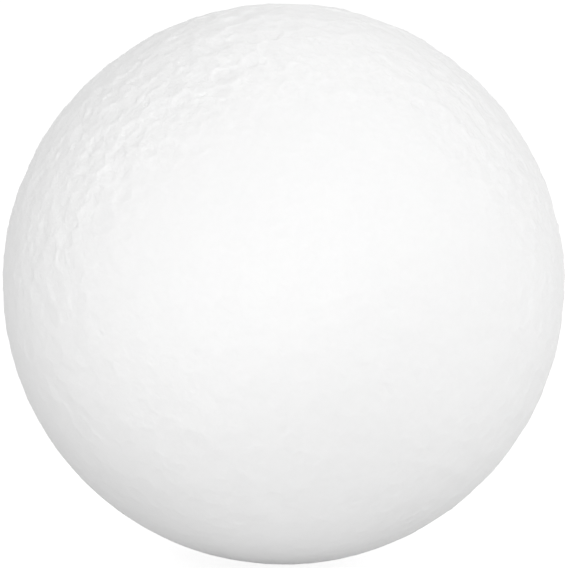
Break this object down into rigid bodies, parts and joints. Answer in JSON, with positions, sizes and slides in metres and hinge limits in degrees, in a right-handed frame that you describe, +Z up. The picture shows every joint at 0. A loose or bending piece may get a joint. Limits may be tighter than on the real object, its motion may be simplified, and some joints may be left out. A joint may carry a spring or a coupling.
{
  "type": "polystyrene ball",
  "caption": "Solid white ball of expanded polystyrene foam with a fine bead mosaic and a faint mould parting line, for crafts and decoration.",
  "frame": {"origin": "centre of the ball", "axes": "+Z up, +Y along the direction in which the mould opened; the parting line lies in the XZ plane and the picture looks along +Y"},
  "size_m": [0.1002, 0.1, 0.1002],
  "materials": {
    "expanded_polystyrene": "white expanded polystyrene foam, bead mosaic with satin bead skins"
  },
  "bodies": {
    "root": {"foam_ball": "expanded_polystyrene"}
  },
  "joints": []
}
